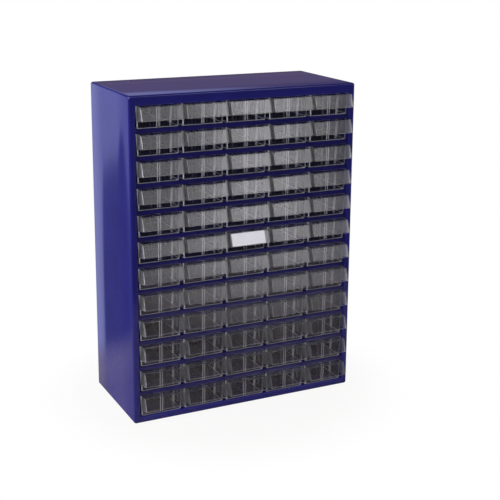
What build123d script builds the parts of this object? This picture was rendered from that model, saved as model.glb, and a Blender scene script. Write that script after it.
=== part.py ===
from build123d import *

import os
from math import hypot

# Parts bin cabinet: a folded sheet-steel case, open at the front, with twelve
# shelf pressings and sixty identical clear drawers in five columns. Millimetres.
# +X is right, -Y is the front, +Z is up; the origin is the centre of the base.

# ---- overall size, and the grid of drawers that fills it --------------------
case_width = 306.0
case_height = 411.0
case_depth = 140.0       # without the drawers' pulls
columns = 5
rows = 12

# ---- case: one folded wrapper ----------------------------------------------
case_sheet = 1.0
side_flange = 8.0        # front flange seen each side of the opening
bottom_flange = 8.0
top_flange = 12.0
rear_flange = 10.0       # turned inward round the back panel
return_depth = 6.0       # front flanges turn back into the case by this
bend_radius = 3.0        # outer radius of the front-to-back bends
front_radius = 2.5       # outer radius of the bends round the front
opening_radius = 0.8     # soft edge where the flange turns back

# ---- shelf pressings -------------------------------------------------------
shelf_sheet = 0.8
shelf_lip = 5.0          # overall height of the turned-down front lip
shelf_setback = 1.2      # lip behind the face of the flanges
shelf_notch_play = 0.2   # between a shelf and the flange returns
rear_lip = 6.0           # turned up, stops the drawers when they close
side_tab = 8.0           # turned down against the case wall
floor_tab = 4.5          # the same on the lowest pressing, clear of the case's bends
guide_height = 4.0       # pressed ribs that keep the columns apart
guide_base = 3.4
guide_crest = 2.2
guide_end_gap = 6.0      # from either end of a rib to the nearest lip or return

# ---- back panel ------------------------------------------------------------
back_sheet = 0.8
back_play = 0.3          # round its edge, inside the wrapper
keyhole_spacing = 220.0
keyhole_drop = 34.0      # below the top of the case
keyhole_radius = 4.5     # passes a screw head
keyhole_slot_radius = 2.25
keyhole_slot = 9.0       # from the round hole's centre up to the slot's end centre

# ---- drawer: injection moulded, open on top --------------------------------
drawer_gap = 2.0         # between the rims of neighbours
side_draft = 1.8         # each side, from rim to floor
end_draft = 0.7          # front and back, from rim to floor
drawer_wall = 1.2
drawer_floor = 1.2
drawer_lift = 0.3        # running clearance over the shelf
rim_play = 0.5           # rim below the lip above
front_recess = 1.5       # front wall behind the face of the flanges
rear_play = 0.4          # back wall to the shelf's rear lip
ear_play = 0.7           # stop ears below the shelf above
ear_length = 4.0
ear_inset = 24.0         # behind the ears, what stays in the case when fully open
stop_play = 0.4          # ears to the lip they stop against

# divider slots: pairs of ribs
rib_width = 1.4
rib_depth = 1.0
rib_bite = 0.3           # how far a rib's foot is sunk in its wall
divider_slot = 1.4
cross_slot_place = 24.0  # behind the front wall
rib_drop = 3.0           # ribs end this far below the rim

# hooded pull and card pocket on the front wall
hood_inset = 1.3         # each side, from the rim's end to the hood's
hood_wall = 1.0
hood_reach_top = 11.0    # in front of the front wall, level with the rim
hood_reach_low = 16.5    # the same at the pull's lower edge
hood_drop = 16.0         # from the rim down to that edge
cheek_drop = 3.0         # the cheeks run back to the wall this much lower still
ledge_depth = 1.4        # the card stands on this
card_slot = 1.0          # runs from cheek to cheek

# ---- label card ------------------------------------------------------------
card_thickness = 0.3
card_play = 0.1
card_side_play = 0.4     # the card has slid this near to the left cheek
card_end_room = 5.0      # pocket left free at the card's other end
card_row = 6             # counted from the top
card_column = 3          # counted from the left

# ---- what follows from those ------------------------------------------------
opening_width = case_width - 2 * side_flange
opening_height = case_height - bottom_flange - top_flange
column_pitch = opening_width / columns
row_pitch = (opening_height + shelf_lip) / rows
clear_height = row_pitch - shelf_lip
front = -case_depth / 2
rear = case_depth / 2
inner_width = case_width - 2 * case_sheet
inner_top = case_height - case_sheet

back_front_face = rear - case_sheet - back_sheet
lip_rear_face = front + shelf_setback + shelf_sheet
rear_lip_face = back_front_face - shelf_sheet
return_rear_face = front + return_depth

drawer_width = column_pitch - drawer_gap
drawer_height = clear_height - drawer_lift - rim_play
drawer_front = front + front_recess
drawer_length = rear_lip_face - rear_play - drawer_front
hood_width = drawer_width - 2 * hood_inset
pocket_width = hood_width - 2 * hood_wall
card_width = pocket_width - card_side_play - card_end_room
ear_top = row_pitch - shelf_sheet - ear_play - drawer_lift
ear_front = drawer_length - ear_inset - ear_length

travel = drawer_front + ear_front - lip_rear_face - stop_play
travel_top_row = drawer_front + ear_front - return_rear_face - stop_play


def block(x, y, z):
    """A box between two values on each axis."""
    size = (x[1] - x[0], y[1] - y[0], z[1] - z[0])
    centre = ((x[0] + x[1]) / 2, (y[0] + y[1]) / 2, (z[0] + z[1]) / 2)
    return Pos(*centre) * Box(*size)


def span(width):
    """Low and high values of a width centred on zero."""
    return (-width / 2, width / 2)


def prism(points, width):
    """An outline in Y and Z, drawn out by a width centred on X = 0."""
    outline = Plane.YZ * Polygon(*points, align=None)
    return extrude(outline, amount=width / 2, both=True)


def shelf_height(row):
    """Top face of the shelf that carries a row; row 1 is the top one."""
    return bottom_flange + (rows - row) * row_pitch


def column_place(column):
    return (column - (columns + 1) / 2) * column_pitch


# ---- case ------------------------------------------------------------------
def case_shell():
    skin = block(span(case_width), (front, rear), (0, case_height))
    skin = fillet(skin.edges().filter_by(Axis.Y), bend_radius)
    skin = fillet(skin.faces().sort_by(Axis.Y)[0].edges(), front_radius)

    hollow = block(
        span(inner_width), (front + case_sheet, rear - case_sheet), (case_sheet, inner_top)
    )
    hollow = fillet(hollow.edges().filter_by(Axis.Y), bend_radius - case_sheet)
    window = block(
        span(case_width - 2 * rear_flange),
        (rear - 2 * case_sheet, rear + case_sheet),
        (rear_flange, case_height - rear_flange),
    )
    shell = skin - hollow - window

    opening_z = (bottom_flange, bottom_flange + opening_height)
    opening = block(span(opening_width), (front - case_sheet, rear - case_sheet), opening_z)
    turned_back = block(
        span(opening_width + 2 * case_sheet),
        (front + case_sheet / 2, return_rear_face),
        (opening_z[0] - case_sheet, opening_z[1] + case_sheet),
    )
    shell = shell + turned_back - opening
    mouth = shell.faces().filter_by(Plane.XZ).sort_by(Axis.Y)[0].inner_wires()[0]
    return fillet(mouth.edges(), opening_radius)


def back_panel():
    height = case_height - 2 * case_sheet - 2 * back_play
    corner = bend_radius - case_sheet
    outline = Rectangle(inner_width - 2 * back_play, height)
    outline = chamfer(outline.vertices(), corner)
    keyholes = Sketch()
    for side in (-1, 1):
        place = Pos(side * keyhole_spacing / 2, case_height / 2 - keyhole_drop)
        slot = Pos(0, keyhole_slot / 2) * Rectangle(2 * keyhole_slot_radius, keyhole_slot)
        keyholes += place * (Circle(keyhole_radius) + slot)
        keyholes += place * Pos(0, keyhole_slot) * Circle(keyhole_slot_radius)
    sheet = Plane.XZ * (outline - keyholes)
    panel = extrude(sheet, amount=back_sheet)
    return Pos(0, rear - case_sheet, case_height / 2) * panel


def guide_ribs(start, end, height):
    """Pressed ribs between the columns, tapered in section."""
    half_base = guide_base / 2
    half_crest = guide_crest / 2
    section = Polygon(
        (-half_base, 0),
        (half_base, 0),
        (half_crest, guide_height),
        (-half_crest, guide_height),
        align=None,
    )
    guide = extrude(Plane.XZ * section, amount=-(end - start))
    ribs = []
    for line in range(1, columns):
        x = (line - columns / 2) * column_pitch
        ribs.append(Pos(x, start, height) * guide)
    return ribs


def shelf(row):
    """One pressing: plate, front lip down, rear lip up, side tabs down."""
    top = shelf_height(row)
    bottom = top - shelf_sheet
    lowest = row == rows
    wide_from = return_rear_face + shelf_notch_play
    plate_z = (bottom, top)
    plate = block(span(inner_width), (wide_from, back_front_face), plate_z)
    tab_bottom = top - (floor_tab if lowest else side_tab)
    pieces = [
        block(span(inner_width), (rear_lip_face, back_front_face), (bottom, top + rear_lip))
    ]
    for side in (-1, 1):
        outer = side * inner_width / 2
        tab_x = sorted((outer, outer - side * shelf_sheet))
        pieces.append(block(tab_x, (wide_from, back_front_face), (tab_bottom, top)))
    if not lowest:
        tongue = span(opening_width - 2 * shelf_notch_play)
        lip_front = front + shelf_setback
        pieces.append(block(tongue, (lip_front, wide_from), plate_z))
        pieces.append(block(tongue, (lip_front, lip_rear_face), (top - shelf_lip, top)))
    pieces += guide_ribs(return_rear_face + guide_end_gap, rear_lip_face - guide_end_gap, top)
    return plate + pieces


# ---- drawer, in its own frame: front wall's rim at Y = 0, underside at Z = 0 ---
def tub_section(z, inset):
    """The tub's outline at a height, moved in by inset; both draft to the floor."""
    share = 1 - z / drawer_height
    width = drawer_width - 2 * side_draft * share - 2 * inset
    length = drawer_length - 2 * end_draft * share - 2 * inset
    return Pos(0, drawer_length / 2, z) * Rectangle(width, length)


def tub(low, high, inset=0.0):
    return loft([tub_section(low, inset), tub_section(high, inset)], ruled=True)


def rib(section_at):
    """A rib of tapered section, sloping with its wall from the floor to below the rim."""
    low = drawer_floor
    high = drawer_height - rib_drop
    ends = [Pos(0, 0, z) * Polygon(*section_at(z), align=None) for z in (low, high)]
    return loft(ends, ruled=True)


def side_rib(side, y):
    def section_at(z):
        draft = side_draft * (1 - z / drawer_height)
        wall = drawer_width / 2 - draft - drawer_wall
        foot = side * (wall + rib_bite)
        crest = side * (wall - rib_depth)
        return [(foot, y - rib_width / 2), (foot, y + rib_width / 2), (crest, y)]

    return rib(section_at)


def front_rib(x):
    def section_at(z):
        wall = end_draft * (1 - z / drawer_height) + drawer_wall
        foot = wall - rib_bite
        return [(x - rib_width / 2, foot), (x + rib_width / 2, foot), (x, wall + rib_depth)]

    return rib(section_at)


def divider_ribs():
    """Pairs of ribs that hold dividers: one pair on each side wall, one inside the front."""
    offset = (divider_slot + rib_width) / 2
    ribs = []
    for step in (-offset, offset):
        ribs.append(front_rib(step))
        for side in (-1, 1):
            ribs.append(side_rib(side, cross_slot_place + step))
    return ribs


def stop_ears():
    ears = []
    for side in (-1, 1):
        outer = side * drawer_width / 2
        x = sorted((outer, outer - side * drawer_wall))
        y = (ear_front, ear_front + ear_length)
        ears.append(block(x, y, (drawer_height, ear_top)))
    return ears


# The hood's face runs from its top corner down to the pull's lower edge.
face_length = hypot(hood_reach_low - hood_reach_top, hood_drop)
face_down = ((hood_reach_top - hood_reach_low) / face_length, -hood_drop / face_length)
face_in = (-face_down[1], face_down[0])  # square to the face, into the pocket


def on_face(down, inward):
    """Y and Z of a point so far down the hood's face and so far behind it."""
    y = -hood_reach_top + down * face_down[0] + inward * face_in[0]
    z = drawer_height + down * face_down[1] + inward * face_in[1]
    return (y, z)


def down_to_level(level, inward):
    """How far down the face a line behind it meets a level below the rim."""
    return (level + inward * face_in[1]) / -face_down[1]


def hood():
    """Top plate, sloping face with the card's ledge, and two cheeks."""
    under_top = down_to_level(hood_wall, hood_wall)
    sheet_outline = [
        (drawer_wall / 2, drawer_height),
        on_face(0, 0),
        on_face(face_length, 0),
        on_face(face_length, hood_wall + ledge_depth),
        on_face(face_length - hood_wall, hood_wall + ledge_depth),
        on_face(face_length - hood_wall, hood_wall),
        on_face(under_top, hood_wall),
        (drawer_wall / 2, drawer_height - hood_wall),
    ]
    wall_foot = end_draft * (hood_drop + cheek_drop) / drawer_height + drawer_wall / 2
    cheek_outline = [
        (drawer_wall / 2, drawer_height),
        on_face(0, 0),
        on_face(face_length, 0),
        (wall_foot, drawer_height - hood_drop - cheek_drop),
    ]
    pull = prism(sheet_outline, hood_width)
    cheek = prism(cheek_outline, hood_wall)
    for side in (-1, 1):
        pull += Pos(side * (hood_width - hood_wall) / 2, 0, 0) * cheek
    above = -hood_wall
    below = down_to_level(2 * hood_wall, hood_wall)
    slot_outline = [
        on_face(above, hood_wall),
        on_face(above, hood_wall + card_slot),
        on_face(below, hood_wall + card_slot),
        on_face(below, hood_wall),
    ]
    return pull - prism(slot_outline, pocket_width)


def drawer():
    body = tub(0, drawer_height) - tub(drawer_floor, drawer_height, drawer_wall)
    return body + divider_ribs() + stop_ears() + hood()


def label_card():
    """Stands on the pocket's ledge, behind the sloping face, with its top in the slot."""
    near = hood_wall + card_play
    far = near + card_thickness
    foot = face_length - hood_wall - card_play
    head = down_to_level(card_play, near)
    outline = [on_face(head, near), on_face(head, far), on_face(foot, far), on_face(foot, near)]
    left_edge = -pocket_width / 2 + card_side_play
    return Pos(left_edge + card_width / 2, 0, 0) * prism(outline, card_width)


def drawer_place(row, column):
    return Pos(column_place(column), drawer_front, shelf_height(row) + drawer_lift)


# ---- write each piece ---------------------------------------------------------
os.makedirs("parts", exist_ok=True)


def write(shape, name):
    export_step(shape, f"parts/{name}.step")


write(case_shell(), "case_shell")
write(back_panel(), "back_panel")
write(Compound([shelf(row).solid() for row in range(1, rows + 1)]), "shelf_pressings")
write(drawer_place(card_row, card_column) * label_card(), "label_card")

# The lowest row's drawers share one file; each other drawer has its own.
one_drawer = drawer().solid()
for row in range(1, rows):
    for column in range(1, columns + 1):
        name = f"drawer_r{row:02d}_c{column}"
        write(drawer_place(row, column) * one_drawer, name)
lowest_row = [drawer_place(rows, column) * one_drawer for column in range(1, columns + 1)]
write(Compound(lowest_row), f"drawers_r{rows:02d}")

print("case", case_width, case_depth, case_height)
print("drawer", drawer_width, round(drawer_length, 3), round(drawer_height, 3))
print("drawer volume, mm3", round(one_drawer.volume))
print("travel", round(travel, 3), "top row", round(travel_top_row, 3))
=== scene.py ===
import math

import bmesh
import bpy
from mathutils import Matrix, Vector


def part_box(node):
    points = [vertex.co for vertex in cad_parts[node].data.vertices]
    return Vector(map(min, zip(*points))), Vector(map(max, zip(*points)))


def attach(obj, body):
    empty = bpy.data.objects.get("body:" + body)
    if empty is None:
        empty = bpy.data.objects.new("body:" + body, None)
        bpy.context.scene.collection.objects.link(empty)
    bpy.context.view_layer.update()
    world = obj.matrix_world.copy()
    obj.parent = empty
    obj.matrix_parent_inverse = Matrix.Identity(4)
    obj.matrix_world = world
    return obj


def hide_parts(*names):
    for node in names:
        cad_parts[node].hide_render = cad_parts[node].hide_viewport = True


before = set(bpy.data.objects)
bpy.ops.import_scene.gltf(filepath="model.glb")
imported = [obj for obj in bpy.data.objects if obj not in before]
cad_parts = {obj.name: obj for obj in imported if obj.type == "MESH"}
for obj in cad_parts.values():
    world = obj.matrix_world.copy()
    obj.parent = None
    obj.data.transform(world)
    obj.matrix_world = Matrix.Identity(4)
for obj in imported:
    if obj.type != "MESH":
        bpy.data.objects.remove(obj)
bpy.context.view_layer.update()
print("frame loaded:", len(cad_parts), "nodes")

mm = 0.001  # in metres, the scene's unit


def linearColor(hexText):
    # sRGB hex to the linear colour that sockets take
    values = [int(hexText[i:i + 2], 16) / 255 for i in (1, 3, 5)]
    return [v / 12.92 if v <= 0.04045 else ((v + 0.055) / 1.055) ** 2.4 for v in values] + [1.0]


def addNode(tree, kind, settings=None, links=None):
    # settings are the node's own options or its inputs' values, links are inputs fed by sockets;
    # where two inputs share a name, they go by number
    node = tree.nodes.new(kind)
    for name, value in (settings or {}).items():
        if isinstance(name, int) or name in node.inputs.keys():
            node.inputs[name].default_value = value
        else:
            setattr(node, name, value)
    for name, socket in (links or {}).items():
        tree.links.new(socket, node.inputs[name])
    return node


def startMaterial(name):
    material = bpy.data.materials.new(name)
    material.use_nodes = True
    tree = material.node_tree
    tree.nodes.clear()
    return material, tree


def finishMaterial(tree, shader):
    addNode(tree, "ShaderNodeOutputMaterial", links={"Surface": shader})


# Stoved enamel: gloss paint baked on thin folded sheet. The paint flows out into a faint orange
# peel and the sheet is never quite flat, so reflections wave, and the eye reads painted steel.
enamelLook = {
    "color": "#2b2a84",
    "deeper": "#28277c",
    "ior": 1.5,
    "roughness": (0.08, 0.13),
    "cloudWidth": 60.0,  # mm, how far apart the paint's slow changes lie
    "cloudEdges": (0.35, 0.65),  # noise values at which the two blues are reached
    "peelWidth": 2.4,  # mm from bump to bump
    "peelDepth": 0.006,
    "peelStrength": 0.5,
    "waveWidth": 150.0,  # mm, how far apart the sheet's own hollows lie
    "waveDepth": 0.5,
    "pillowFrom": 25.0,  # mm from mid-depth, where the sheet starts to fall towards its bends
    "pillowWidth": 45.0,  # mm from there to the bends
    "pillowDepth": 2.6,  # how far it has fallen at the bends
}


# The shelves use the case's enamel in a deeper blue as painted shade: it stands in for the shade on
# their recessed lips under the drawers' pulls, so they read almost black between the drawers.
shelfPaintedShadeLook = dict(enamelLook, color="#211e62", deeper="#1e1b5a")


def stovedEnamel(name, look):
    material, tree = startMaterial(name)
    place = addNode(tree, "ShaderNodeTexCoord").outputs["Object"]
    clouds = addNode(
        tree, "ShaderNodeTexNoise",
        {"Scale": 1 / (look["cloudWidth"] * mm), "Detail": 3.0}, {"Vector": place})
    wave = addNode(
        tree, "ShaderNodeTexNoise",
        {"Scale": 1 / (look["waveWidth"] * mm), "Detail": 0.0}, {"Vector": place})
    peel = addNode(
        tree, "ShaderNodeTexNoise",
        {"Scale": 1 / (look["peelWidth"] * mm), "Detail": 1.5, "Roughness": 0.4}, {"Vector": place})
    color = addNode(tree, "ShaderNodeValToRGB", links={"Fac": clouds.outputs["Fac"]})
    stops = zip(color.color_ramp.elements, look["cloudEdges"], (look["deeper"], look["color"]))
    for stop, edge, shade in stops:
        stop.position = edge
        stop.color = linearColor(shade)
    rough = addNode(
        tree, "ShaderNodeMapRange",
        {"To Min": look["roughness"][0], "To Max": look["roughness"][1]},
        {"Value": clouds.outputs["Fac"]})
    # the sheet bulges at mid-depth and falls towards the bends in front and behind
    depth = addNode(tree, "ShaderNodeSeparateXYZ", links={"Vector": place}).outputs["Y"]
    fromMiddle = addNode(tree, "ShaderNodeMath", {"operation": "ABSOLUTE"}, {"Value": depth})
    pillow = addNode(
        tree, "ShaderNodeMapRange",
        {"interpolation_type": "SMOOTHERSTEP", "From Min": look["pillowFrom"] * mm,
         "From Max": (look["pillowFrom"] + 2 * look["pillowWidth"]) * mm,
         "To Min": 0.0, "To Max": -2 * look["pillowDepth"] / look["waveDepth"]},
        {"Value": fromMiddle.outputs["Value"]})
    shape = addNode(
        tree, "ShaderNodeMath", {"operation": "ADD"},
        {0: wave.outputs["Fac"], 1: pillow.outputs["Result"]})
    sheet = addNode(
        tree, "ShaderNodeBump",
        {"Strength": 1.0, "Distance": look["waveDepth"] * mm}, {"Height": shape.outputs["Value"]})
    bump = addNode(
        tree, "ShaderNodeBump",
        {"Strength": look["peelStrength"], "Distance": look["peelDepth"] * mm},
        {"Height": peel.outputs["Fac"], "Normal": sheet.outputs["Normal"]})
    paint = addNode(
        tree, "ShaderNodeBsdfPrincipled", {"IOR": look["ior"]},
        {"Base Color": color.outputs["Color"], "Roughness": rough.outputs["Result"],
         "Normal": bump.outputs["Normal"]})
    finishMaterial(tree, paint.outputs["BSDF"])
    return material


# General-purpose polystyrene, injection moulded against polished steel: clear as glass, high
# IOR, and faint flow lines from the gate that bend what is seen through the walls.
polystyreneLook = {
    "color": "#eeeef2",
    "ior": 1.59,
    "roughness": (0.0, 0.04),
    "flowWidth": 5.0,  # mm between flow lines
    "flowStretch": 0.12,  # how much slower they change back and up than across
    "flowDepth": 0.012,
    "flowStrength": 0.4,
    "lightThrough": 0.9,  # share of a lamp's light that passes
}

# The mould is left spark-eroded at the pull's ends and ledge: the same clear plastic, misted.
mistedLook = dict(polystyreneLook, roughness=(0.3, 0.4))


def lettingLightThrough(tree, shader, share):
    # thin clear walls cast hardly any shadow: lamps light what lies behind them
    rays = addNode(tree, "ShaderNodeLightPath")
    passed = addNode(
        tree, "ShaderNodeMath", {"operation": "MULTIPLY", 1: share},
        {0: rays.outputs["Is Shadow Ray"]})
    gap = addNode(tree, "ShaderNodeBsdfTransparent")
    mix = addNode(
        tree, "ShaderNodeMixShader",
        links={0: passed.outputs["Value"], 1: shader, 2: gap.outputs["BSDF"]})
    return mix.outputs["Shader"]


def mouldedPolystyrene(name, look):
    material, tree = startMaterial(name)
    place = addNode(tree, "ShaderNodeTexCoord").outputs["Object"]
    stretch = look["flowStretch"]
    drawn = addNode(
        tree, "ShaderNodeMapping", {"Scale": (1.0, stretch, stretch)}, {"Vector": place})
    flow = addNode(
        tree, "ShaderNodeTexNoise",
        {"Scale": 1 / (look["flowWidth"] * mm), "Detail": 2.0}, {"Vector": drawn.outputs["Vector"]})
    rough = addNode(
        tree, "ShaderNodeMapRange",
        {"To Min": look["roughness"][0], "To Max": look["roughness"][1]},
        {"Value": flow.outputs["Fac"]})
    bump = addNode(
        tree, "ShaderNodeBump",
        {"Strength": look["flowStrength"], "Distance": look["flowDepth"] * mm},
        {"Height": flow.outputs["Fac"]})
    clear = addNode(
        tree, "ShaderNodeBsdfPrincipled",
        {"IOR": look["ior"], "Transmission Weight": 1.0, "Base Color": linearColor(look["color"])},
        {"Roughness": rough.outputs["Result"], "Normal": bump.outputs["Normal"]})
    finishMaterial(tree, lettingLightThrough(tree, clear.outputs["BSDF"], look["lightThrough"]))
    return material


# The same polystyrene made pale and rough on rims, corners and rib crests as a painted highlight:
# it stands in for the bright lines that light piped along the clear walls draws at each drawer's
# edges.
edgeHighlightLook = {
    "color": "#f0f0f4",
    "ior": 1.59,
    "roughness": (0.3, 0.5),
    "grain": 1.5,  # mm
    "clear": 0.3,  # share of the light that still passes as through clear plastic
    "lightThrough": 0.5,
}


# pale, mostly diffuse plastic for the edges: a painted highlight of the bright edge lines
def scuffedPolystyrene():
    look = edgeHighlightLook
    material, tree = startMaterial("scuffedPolystyrene")
    place = addNode(tree, "ShaderNodeTexCoord").outputs["Object"]
    grain = addNode(
        tree, "ShaderNodeTexNoise",
        {"Scale": 1 / (look["grain"] * mm), "Detail": 2.0}, {"Vector": place})
    rough = addNode(
        tree, "ShaderNodeMapRange",
        {"To Min": look["roughness"][0], "To Max": look["roughness"][1]},
        {"Value": grain.outputs["Fac"]})
    edge = addNode(
        tree, "ShaderNodeBsdfPrincipled",
        {"IOR": look["ior"], "Transmission Weight": look["clear"],
         "Base Color": linearColor(look["color"])},
        {"Roughness": rough.outputs["Result"]})
    finishMaterial(tree, lettingLightThrough(tree, edge.outputs["BSDF"], look["lightThrough"]))
    return material


# Uncoated index card: bleached pulp, matt, with a soft tooth that keeps it from looking like
# plastic.
cardLook = {
    "color": "#fafafc",
    "shade": "#f2f2f6",
    "ior": 1.45,
    "roughness": 0.85,
    "fibre": 1.4,  # mm
    "toothDepth": 0.02,
    "toothStrength": 0.3,
}


def uncoatedCard():
    look = cardLook
    material, tree = startMaterial("uncoatedCard")
    place = addNode(tree, "ShaderNodeTexCoord").outputs["Object"]
    pulp = addNode(
        tree, "ShaderNodeTexNoise",
        {"Scale": 1 / (look["fibre"] * mm), "Detail": 4.0}, {"Vector": place})
    color = addNode(tree, "ShaderNodeValToRGB", links={"Fac": pulp.outputs["Fac"]})
    color.color_ramp.elements[0].color = linearColor(look["shade"])
    color.color_ramp.elements[1].color = linearColor(look["color"])
    bump = addNode(
        tree, "ShaderNodeBump",
        {"Strength": look["toothStrength"], "Distance": look["toothDepth"] * mm},
        {"Height": pulp.outputs["Fac"]})
    card = addNode(
        tree, "ShaderNodeBsdfPrincipled", {"IOR": look["ior"], "Roughness": look["roughness"]},
        {"Base Color": color.outputs["Color"], "Normal": bump.outputs["Normal"]})
    finishMaterial(tree, card.outputs["BSDF"])
    return material


caseEnamel = stovedEnamel("caseEnamel", enamelLook)
shelfEnamel = stovedEnamel("shelfEnamel", shelfPaintedShadeLook)
clearPlastic = mouldedPolystyrene("mouldedPolystyrene", polystyreneLook)
mistedPlastic = mouldedPolystyrene("mistedPolystyrene", mistedLook)
paintedHighlightPlastic = scuffedPolystyrene()
card = uncoatedCard()
print("materials made")


def dress(node, material):
    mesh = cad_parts[node].data
    mesh.materials.clear()
    mesh.materials.append(material)


dress("case_shell", caseEnamel)
dress("back_panel", caseEnamel)
# the shelves' darker blue is painted shade for their recessed lips
dress("shelf_pressings", shelfEnamel)
dress("label_card", card)


# Meshes below are drawn in millimetres, in the drawer's own frame: the front wall's rim at
# Y = 0, the underside at Z = 0. A drawer is one clear moulding: a tub that drafts on all four
# sides, divider ribs, two stop ears and the hooded pull with the card's pocket.
drawerLow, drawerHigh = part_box("drawer_r01_c1")
drawer = {
    "width": (drawerHigh.x - drawerLow.x) / mm,
    "hoodReachTop": 11.0,
    "hoodReachLow": 16.5,
    "hoodWidth": 53.4,
    "hoodWall": 1.0,
    "hoodDrop": 16.0,  # from the rim to the pull's lower edge
    "hoodCorner": 0.9,
    "cheekDrop": 3.0,  # how much lower the cheeks meet the front wall
    "ledgeDepth": 1.4,
    "cardSlot": 1.0,
    "wall": 1.2,
    "floor": 1.2,
    "sideDraft": 1.8,
    "endDraft": 0.7,
    "cornerRadius": 1.3,
    "beadDepth": 0.35,  # of the bead inside the rim
    "earRise": 4.0,
    "earLength": 4.0,
    "earInset": 24.0,
    "ribWidth": 1.4,
    "ribDepth": 1.0,
    "ribBite": 0.3,  # how far a rib's foot is sunk in its wall
    "ribDrop": 3.0,  # ribs end this far below the rim
    "dividerSlot": 1.4,
    "crossSlots": (24.0, 60.0, 96.0),  # behind the front wall
    "sharpAngle": 28.0,  # degrees, above which an edge stays sharp
}
drawer["length"] = (drawerHigh.y - drawerLow.y) / mm - drawer["hoodReachLow"]
drawer["height"] = (drawerHigh.z - drawerLow.z) / mm - drawer["earRise"]


def meshFromRings(name, rings):
    # a closed skin through rings of equally many points, with a flat face at each end
    work = bmesh.new()
    rows = [[work.verts.new([v * mm for v in point]) for point in ring] for ring in rings]
    count = len(rows[0])
    for lower, upper in zip(rows, rows[1:]):
        for i in range(count):
            j = (i + 1) % count
            work.faces.new((lower[i], lower[j], upper[j], upper[i]))
    work.faces.new(list(reversed(rows[0])))
    work.faces.new(rows[-1])
    bmesh.ops.recalc_face_normals(work, faces=work.faces)
    mesh = bpy.data.meshes.new(name)
    work.to_mesh(mesh)
    work.free()
    piece = bpy.data.objects.new(name, mesh)
    bpy.context.scene.collection.objects.link(piece)
    return piece


def combine(piece, tools, operation):
    # union or difference with each tool in turn; the tools are used up
    for tool in tools:
        cutter = piece.modifiers.new("combine", "BOOLEAN")
        cutter.object = tool
        cutter.operation = operation
        cutter.solver = "EXACT"
        bpy.context.view_layer.update()
        graph = bpy.context.evaluated_depsgraph_get()
        mesh = bpy.data.meshes.new_from_object(piece.evaluated_get(graph))
        piece.modifiers.clear()
        piece.data = mesh
        bpy.data.objects.remove(tool)
    return piece


def roundedCorner(before, corner, after, radius, steps):
    # points of the arc that rounds one corner of a flat outline
    if radius <= 0:
        return [corner]
    a = (Vector(before) - Vector(corner)).normalized()
    b = (Vector(after) - Vector(corner)).normalized()
    half = a.angle(b) / 2
    middle = Vector(corner) + (a + b).normalized() * (radius / math.sin(half))
    start = Vector(corner) + a * (radius / math.tan(half)) - middle
    end = Vector(corner) + b * (radius / math.tan(half)) - middle
    points = []
    for step in range(steps + 1):
        t = step / steps
        turn = start.lerp(end, t).normalized() * radius
        points.append(tuple(middle + turn))
    return points


def roundedOutline(corners, radii, steps=5):
    points = []
    for i, corner in enumerate(corners):
        before = corners[i - 1]
        after = corners[(i + 1) % len(corners)]
        points += roundedCorner(before, corner, after, radii[i], steps)
    return points


def draft(z):
    # share of the walls' whole draft at a height: none at the rim, all at the underside
    return 1 - z / drawer["height"]


def tubRing(z, inset):
    # the tub's outline at a height, moved in by inset
    halfWidth = drawer["width"] / 2 - drawer["sideDraft"] * draft(z) - inset
    near = drawer["endDraft"] * draft(z) + inset
    far = drawer["length"] - near
    radius = max(drawer["cornerRadius"] - inset, 0.7)
    corners = [(-halfWidth, near), (halfWidth, near), (halfWidth, far), (-halfWidth, far)]
    return [(x, y, z) for x, y in roundedOutline(corners, [radius] * 4)]


def makeTub():
    top = drawer["height"]
    wall = drawer["wall"]
    bead = wall + drawer["beadDepth"]
    floor = drawer["floor"]
    levels = [
        (0.0, 1.1), (0.12, 0.55), (0.45, 0.15), (1.0, 0.0),  # rounded underside
        (top - 0.35, 0.0), (top - 0.1, 0.1), (top, 0.35),  # up the outside, over the rim
        (top, bead - 0.3), (top - 0.1, bead - 0.08), (top - 0.35, bead),
        (top - 1.3, bead), (top - 1.8, wall),  # the bead inside the rim
        (floor + 1.2, wall), (floor + 0.5, wall + 0.2),  # down the inside, round to the floor
        (floor + 0.12, wall + 0.7), (floor, wall + 1.3),
    ]
    return meshFromRings("drawerTub", [tubRing(z, inset) for z, inset in levels])


def makeRib(section):
    # section gives the rib's three corners at a height
    low = drawer["floor"] - 0.4
    high = drawer["height"] - drawer["ribDrop"]
    return meshFromRings("rib", [[(x, y, z) for x, y in section(z)] for z in (low, high)])


def dividerRibs():
    bite = drawer["ribBite"]
    half = drawer["ribWidth"] / 2
    depth = drawer["ribDepth"]
    offset = (drawer["dividerSlot"] + drawer["ribWidth"]) / 2
    ribs = []

    def sideSection(side, y):
        def at(z):
            wall = drawer["width"] / 2 - drawer["sideDraft"] * draft(z) - drawer["wall"]
            foot, crest = side * (wall + bite), side * (wall - depth)
            return [(foot, y - half), (foot, y + half), (crest, y)]
        return at

    def endSection(x, atBack):
        def at(z):
            near = drawer["endDraft"] * draft(z) + drawer["wall"]
            foot, crest = near - bite, near + depth
            if atBack:
                foot, crest = drawer["length"] - foot, drawer["length"] - crest
            return [(x - half, foot), (x + half, foot), (x, crest)]
        return at

    for step in (-offset, offset):
        for place in drawer["crossSlots"]:
            ribs += [makeRib(sideSection(side, place + step)) for side in (-1, 1)]
        ribs += [makeRib(endSection(step, atBack)) for atBack in (False, True)]
    return ribs


def stopEars():
    ears = []
    near = drawer["length"] - drawer["earInset"] - drawer["earLength"]
    far = near + drawer["earLength"]
    for side in (-1, 1):
        outer = drawer["width"] / 2
        inner = outer - drawer["wall"]
        rings = []
        low = drawer["height"] - 0.5
        high = drawer["height"] + drawer["earRise"]
        for z, ease in ((low, 0.0), (high - 0.4, 0.0), (high, 0.3)):
            x0, x1 = sorted((side * (inner + ease), side * (outer - ease)))
            corners = [(x0, near + ease), (x1, near + ease), (x1, far - ease), (x0, far - ease)]
            rings.append([(x, y, z) for x, y in corners])
        ears.append(meshFromRings("ear", rings))
    return ears


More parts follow.
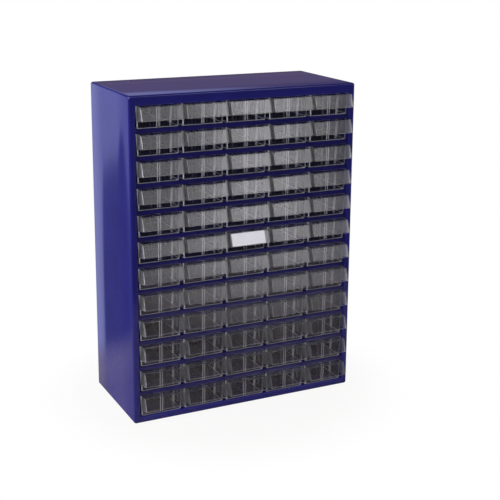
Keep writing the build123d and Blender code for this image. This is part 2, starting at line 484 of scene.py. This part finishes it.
# The hood's face runs from its top corner down to the pull's lower edge.
faceSlope = drawer["hoodReachLow"] - drawer["hoodReachTop"]
faceLength = math.hypot(faceSlope, drawer["hoodDrop"])
faceDown = (-faceSlope / faceLength, -drawer["hoodDrop"] / faceLength)
faceIn = (-faceDown[1], faceDown[0])  # square to the face, into the pocket


def onFace(down, inward):
    # Y and Z of a point so far down the hood's sloping face and so far behind it
    return (
        -drawer["hoodReachTop"] + down * faceDown[0] + inward * faceIn[0],
        drawer["height"] + down * faceDown[1] + inward * faceIn[1],
    )


def downToLevel(level, inward):
    # how far down the face a line behind it meets a level below the rim
    return (level + inward * faceIn[1]) / -faceDown[1]


def hoodRings(ends, outline):
    # the same outline at several places across the drawer, drawn in towards both ends
    places = [(-x, ease) for x, ease in ends] + [(x, ease) for x, ease in reversed(ends)]
    return [[(x, y, z) for y, z in outline(ease)] for x, ease in places]


def makeHood():
    half = drawer["hoodWidth"] / 2
    wall = drawer["hoodWall"]
    top = drawer["height"]

    # outlines in Y and Z; the ease draws one in near the hood's ends, so that its edges there
    # aren't sharp, and what is behind Y = 0 lies within the tub's front wall
    def outside(ease):
        corners = [
            (0.8, top - ease),
            onFace(downToLevel(ease, ease), ease),
            onFace(faceLength - 0.4 * ease, ease),
            (1.2, top - drawer["hoodDrop"] - drawer["cheekDrop"] + 0.4 * ease),
        ]
        return roundedOutline(corners, [0, drawer["hoodCorner"], 0.45, 0])

    # the void behind the face runs on through that wall and out below, and takes only the hood
    def inside(ease):
        corners = [
            (4.0, top - wall - ease),
            onFace(downToLevel(wall + ease, wall + ease), wall + ease),
            onFace(faceLength + 4.0, wall + ease),
            (4.0, top - drawer["hoodDrop"] - 8.0),
        ]
        return roundedOutline(corners, [0, 0.3, 0, 0])

    shell = meshFromRings("hood", hoodRings(
        [(half, 0.08), (half - 0.08, 0.0)], outside))
    innerHalf = half - wall
    void = meshFromRings("hoodVoid", hoodRings(
        [(innerHalf, 0.6), (innerHalf - 0.3, 0.2), (innerHalf - 0.9, 0.0)], inside))
    combine(shell, [void], "DIFFERENCE")

    # the ledge inside the face's lower edge, on which a card stands
    ledgeCorners = [
        onFace(faceLength - 0.1, 0.5),
        onFace(faceLength - 0.1, wall + drawer["ledgeDepth"]),
        onFace(faceLength - wall, wall + drawer["ledgeDepth"]),
        onFace(faceLength - wall, 0.5),
    ]
    ledgeRadii = [0, 0.3, 0.3, 0]
    ledge = meshFromRings("ledge", hoodRings(
        [(innerHalf + 0.4, 0.0)], lambda ease: roundedOutline(ledgeCorners, ledgeRadii)))
    combine(shell, [ledge], "UNION")

    # the slot behind the face, open above, through which a card goes in
    slotCorners = [
        onFace(-2.0, wall),
        onFace(-2.0, wall + drawer["cardSlot"]),
        onFace(downToLevel(2 * wall, wall), wall + drawer["cardSlot"]),
        onFace(downToLevel(2 * wall, wall), wall),
    ]
    slot = meshFromRings("slot", hoodRings(
        [(innerHalf - 0.02, 0.0)], lambda ease: slotCorners))
    return combine(shell, [slot], "DIFFERENCE")


def tidyMesh(mesh, sharpAngle, nearest=0.002):
    # points nearer than that, in mm, become one
    work = bmesh.new()
    work.from_mesh(mesh)
    bmesh.ops.remove_doubles(work, verts=work.verts, dist=nearest * mm)
    bmesh.ops.dissolve_degenerate(work, edges=work.edges, dist=nearest * mm)
    bmesh.ops.recalc_face_normals(work, faces=work.faces)
    for face in work.faces:
        face.smooth = True
    for edge in work.edges:
        bend = edge.calc_face_angle(0)
        edge.smooth = len(edge.link_faces) == 2 and bend < math.radians(sharpAngle)
    work.to_mesh(mesh)
    work.free()


def finishFaces(mesh):
    # rims, front corners, the edge underneath and the ribs get the pale plastic of the painted
    # highlight, and the pull's ends and ledge are misted; the rules go by a face's middle, in mm,
    # and by its normal
    mesh.materials.clear()
    mesh.materials.append(clearPlastic)
    mesh.materials.append(paintedHighlightPlastic)
    mesh.materials.append(mistedPlastic)
    clearFace, paintedHighlightFace, mistedFace = range(3)
    top = drawer["height"]
    ledgeTop = top - drawer["hoodDrop"] + 3.5
    for face in mesh.polygons:
        x, y, z = (v / mm for v in face.center)
        across, along, up = (abs(v) for v in face.normal)
        slanted = across > 0.3 and along > 0.3 and up < 0.3
        nearSide = abs(x) > drawer["width"] / 2 - 5
        onRim = z > top - 0.5 and face.normal.z > 0.3 and y > -0.5
        frontCorner = -0.5 < y < 3.5 and nearSide and across > 0.2 and along > 0.2 and up < 0.3
        underEdge = z < 1.3 and 0.15 < up < 0.98 and face.normal.z < 0
        rib = y > 1.5 and slanted and (nearSide or abs(x) < 4)
        pullEnd = y < 0 and across > 0.6
        ledge = y < -8 and z < ledgeTop and (up > 0.5 or y > -13)
        # these faces are painted pale as a highlight along the drawer's edges
        if onRim or frontCorner or underEdge or rib:
            face.material_index = paintedHighlightFace
        elif pullEnd or ledge:
            face.material_index = mistedFace
        else:
            face.material_index = clearFace


def flatWalls(piece):
    # large faces keep their own normal and only the small roundings between them curve
    weighted = piece.modifiers.new("flatWalls", "WEIGHTED_NORMAL")
    weighted.keep_sharp = True
    bpy.context.view_layer.update()
    graph = bpy.context.evaluated_depsgraph_get()
    mesh = bpy.data.meshes.new_from_object(piece.evaluated_get(graph))
    piece.modifiers.clear()
    piece.data = mesh


def makeDrawer():
    body = makeTub()
    combine(body, [makeHood()] + dividerRibs() + stopEars(), "UNION")
    tidyMesh(body.data, drawer["sharpAngle"])
    flatWalls(body)
    finishFaces(body.data)
    mesh = body.data
    bpy.data.objects.remove(body)
    return mesh


drawerMesh = makeDrawer()
print("drawer modelled:", len(drawerMesh.polygons), "faces")

# All the drawers share one mesh. The lowest row is one node, as wide as all its drawers.
columns = 5


def placeDrawer(name, node, body, corner):
    # corner is the low corner of the drawer's box in the frame
    piece = bpy.data.objects.new(name, drawerMesh)
    bpy.context.scene.collection.objects.link(piece)
    piece.location = (
        corner[0] + drawer["width"] / 2 * mm,
        corner[1] + drawer["hoodReachLow"] * mm,
        corner[2],
    )
    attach(piece, body)
    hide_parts(node)
    return piece


for node in sorted(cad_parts):
    low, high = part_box(node)
    if node.startswith("drawer_r"):
        placeDrawer(node.replace("drawer_", "moulded_"), node, node, low)
    elif node.startswith("drawers_r"):
        step = (high.x - low.x - drawer["width"] * mm) / (columns - 1)
        for column in range(columns):
            corner = (low.x + column * step, low.y, low.z)
            name = node.replace("drawers_", "moulded_") + f"_c{column + 1}"
            placeDrawer(name, node, node, corner)
print("drawers placed")


# The camera stands to the left of the cabinet and a little above it.
camera = {
    "location": (-0.573, -1.246, 0.591),
    "yaw": -26.16,
    "pitch": -13.69,
    "roll": -0.44,
    "lens": 77.8,
    "shiftY": -0.1,
}


def makeCamera():
    data = bpy.data.cameras.new("camera")
    data.sensor_width = 36
    data.lens = camera["lens"]
    data.shift_y = camera["shiftY"]
    item = bpy.data.objects.new("camera", data)
    bpy.context.scene.collection.objects.link(item)
    turn = (
        Matrix.Rotation(math.radians(camera["yaw"]), 4, "Z")
        @ Matrix.Rotation(math.radians(camera["pitch"]), 4, "X")
        @ Matrix.Rotation(math.radians(camera["roll"]), 4, "Y")
        @ Matrix.Rotation(math.pi / 2, 4, "X")
    )
    item.matrix_world = Matrix.Translation(camera["location"]) @ turn
    bpy.context.scene.camera = item


makeCamera()
bpy.context.scene.view_settings.view_transform = "Standard"

# Soft boxes: place, what they look at, size in metres and power in watts.
softBoxes = {
    "leftBox": {"place": (-1.9, 0.15, 0.9), "aim": (0, 0, 0.2), "size": (1.2, 1.2), "power": 34},
    "frontBox": {"place": (-0.85, -1.6, 1.3), "aim": (0, 0, 0.2), "size": (0.9, 0.9), "power": 12},
    "rimBox": {"place": (1.6, 0.2, 0.5), "aim": (0, -0.1, 0.2), "size": (0.7, 1.2), "power": 5},
}


def makeLights():
    for name, box in softBoxes.items():
        data = bpy.data.lights.new(name, "AREA")
        data.shape = "RECTANGLE"
        data.size, data.size_y = box["size"]
        data.energy = box["power"]
        item = bpy.data.objects.new(name, data)
        bpy.context.scene.collection.objects.link(item)
        item.location = box["place"]
        item.visible_transmission = False  # no lamp shows through the plastic's edges
        aim = Vector(box["aim"]) - Vector(box["place"])
        item.rotation_euler = aim.to_track_quat("-Z", "Y").to_euler()


makeLights()

# The room round the cabinet, as its gloss shows it: dim, with paler walls and screens.
room = {
    "white": 1.0,
    "dim": 0.05,
    "glossShare": 0.06,  # of the white backdrop, in gloss
    "behind": (0.1, 0.5),  # the backdrop starts and is whole at these Y of a direction
}

# Each wall fades from its inner to its outer angle, in degrees from its own direction, and hides
# those before it.
roomWalls = {
    "screenFront": {
        "toward": (0.429, -0.79, 0.438), "inner": 3, "outer": 13.5, "level": 2.9,
        "tint": "#f6f4f8"},
    "flagNear": {
        "toward": (0.29, -0.857, 0.425), "inner": 4, "outer": 9, "level": 1.1, "tint": "#f6f4f8"},
    "flagPast": {
        "toward": (0.613, -0.705, 0.338), "inner": 4, "outer": 12, "level": 0.1, "tint": "#f6f4f8"},
    "wallRight": {
        "toward": (1.0, -0.1, 0.2), "inner": 15, "outer": 40, "level": 1.0, "tint": "#f6f4f8"},
    "wallBehind": {
        "toward": (0.42, 0.9, 0.05), "inner": 10, "outer": 22, "level": 0.16, "tint": "#d4b0ff"},
    "windowBehind": {
        "toward": (0.27, 0.88, 0.4), "inner": 7, "outer": 13, "level": 0.85, "tint": "#bcc0ff"},
    "windowLeft": {
        "toward": (-0.32, 0.93, -0.17), "inner": 16, "outer": 22, "level": 0.88,
        "tint": "#c1c7ff"},
    "darkStand": {
        "toward": (-0.387, 0.866, -0.317), "inner": 8.2, "outer": 8.8, "level": 0.02,
        "tint": "#c1c7ff"},
}


def showingWhite(tree, place, behind):
    # how much of the white backdrop a ray meets: the camera's rays all of it, and behind the
    # cabinet also rays through clear plastic and, for a small share, those in gloss
    rays = addNode(tree, "ShaderNodeLightPath")
    gloss = addNode(
        tree, "ShaderNodeMath", {"operation": "MULTIPLY", 1: room["glossShare"]},
        {0: rays.outputs["Is Glossy Ray"]})
    through = addNode(
        tree, "ShaderNodeMath", {"operation": "MAXIMUM"},
        {0: rays.outputs["Is Transmission Ray"], 1: gloss.outputs["Value"]})
    back = addNode(tree, "ShaderNodeSeparateXYZ", links={"Vector": place})
    reach = addNode(
        tree, "ShaderNodeMapRange",
        {"interpolation_type": "SMOOTHSTEP", "From Min": behind[0], "From Max": behind[1]},
        {"Value": back.outputs["Y"]})
    shown = addNode(
        tree, "ShaderNodeMath", {"operation": "MULTIPLY"},
        {0: through.outputs["Value"], 1: reach.outputs["Result"]})
    seen = addNode(
        tree, "ShaderNodeMath", {"operation": "MAXIMUM"},
        {0: rays.outputs["Is Camera Ray"], 1: shown.outputs["Value"]})
    return seen.outputs["Value"]


def makeRoom():
    world = bpy.data.worlds.new("room")
    bpy.context.scene.world = world
    world.use_nodes = True
    tree = world.node_tree
    tree.nodes.clear()
    look = addNode(tree, "ShaderNodeTexCoord").outputs["Generated"]
    dim = addNode(tree, "ShaderNodeBackground", {"Color": [room["dim"]] * 3 + [1]})
    soft = dim.outputs["Background"]
    for name, wall in roomWalls.items():
        near = addNode(
            tree, "ShaderNodeVectorMath",
            {"operation": "DOT_PRODUCT", "label": name, 1: Vector(wall["toward"]).normalized()},
            {0: look})
        cover = addNode(
            tree, "ShaderNodeMapRange",
            {"interpolation_type": "SMOOTHSTEP",
             "From Min": math.cos(math.radians(wall["outer"])),
             "From Max": math.cos(math.radians(wall["inner"]))},
            {"Value": near.outputs["Value"]})
        pane = addNode(
            tree, "ShaderNodeBackground",
            {"Color": linearColor(wall["tint"]), "Strength": wall["level"]})
        total = addNode(
            tree, "ShaderNodeMixShader",
            links={0: cover.outputs["Result"], 1: soft, 2: pane.outputs["Background"]})
        soft = total.outputs["Shader"]
    white = addNode(
        tree, "ShaderNodeBackground", {"Color": (1, 1, 1, 1), "Strength": room["white"]})
    shown = showingWhite(tree, look, room["behind"])
    mix = addNode(
        tree, "ShaderNodeMixShader", links={0: shown, 1: soft, 2: white.outputs["Background"]})
    addNode(tree, "ShaderNodeOutputWorld", links={"Surface": mix.outputs["Shader"]})


makeRoom()

floorLook = {
    "color": "#c8bcb4",
    "across": (-0.5, 0.5),  # metres in X, and below in Y
    "depth": (-0.5, 0.25),
    "endFrom": 0.13,  # from here back it fades out, so that the case's side mirrors no hard edge
    "glowNear": 0.92,  # how white it shows by the cabinet, where the rest is paint and shadow
    "fade": (0.14, 0.27),  # from the cabinet's middle, until it shows white alone
    "behind": (0.05, 0.12),
}


def makeFloor():
    # a pale floor that shows white, all the more so away from the cabinet, and keeps its shadow
    left, right = floorLook["across"]
    near, far = floorLook["depth"]
    mesh = bpy.data.meshes.new("floor")
    corners = [(left, near, 0), (right, near, 0), (right, far, 0), (left, far, 0)]
    mesh.from_pydata(corners, [], [(0, 1, 2, 3)])
    item = bpy.data.objects.new("floor", mesh)
    bpy.context.scene.collection.objects.link(item)
    material, tree = startMaterial("paleFloor")
    paint = addNode(tree, "ShaderNodeBsdfDiffuse", {"Color": linearColor(floorLook["color"])})
    glow = addNode(tree, "ShaderNodeEmission", {"Color": (1, 1, 1, 1), "Strength": room["white"]})
    place = addNode(tree, "ShaderNodeTexCoord").outputs["Object"]
    away = addNode(tree, "ShaderNodeVectorMath", {"operation": "LENGTH"}, {0: place})
    share = addNode(
        tree, "ShaderNodeMapRange",
        {"interpolation_type": "SMOOTHSTEP", "From Min": floorLook["fade"][0],
         "From Max": floorLook["fade"][1], "To Min": floorLook["glowNear"]},
        {"Value": away.outputs["Value"]})
    seen = addNode(
        tree, "ShaderNodeMath", {"operation": "MULTIPLY"},
        {0: showingWhite(tree, place, floorLook["behind"]), 1: share.outputs["Result"]})
    mix = addNode(
        tree, "ShaderNodeMixShader",
        links={0: seen.outputs["Value"], 1: paint.outputs["BSDF"], 2: glow.outputs["Emission"]})
    back = addNode(tree, "ShaderNodeSeparateXYZ", links={"Vector": place})
    ending = addNode(
        tree, "ShaderNodeMapRange",
        {"interpolation_type": "SMOOTHSTEP", "From Min": floorLook["endFrom"], "From Max": far},
        {"Value": back.outputs["Y"]})
    gap = addNode(tree, "ShaderNodeBsdfTransparent")
    ended = addNode(
        tree, "ShaderNodeMixShader",
        links={0: ending.outputs["Result"], 1: mix.outputs["Shader"], 2: gap.outputs["BSDF"]})
    finishMaterial(tree, ended.outputs["Shader"])
    mesh.materials.append(material)


makeFloor()
print("stage set")
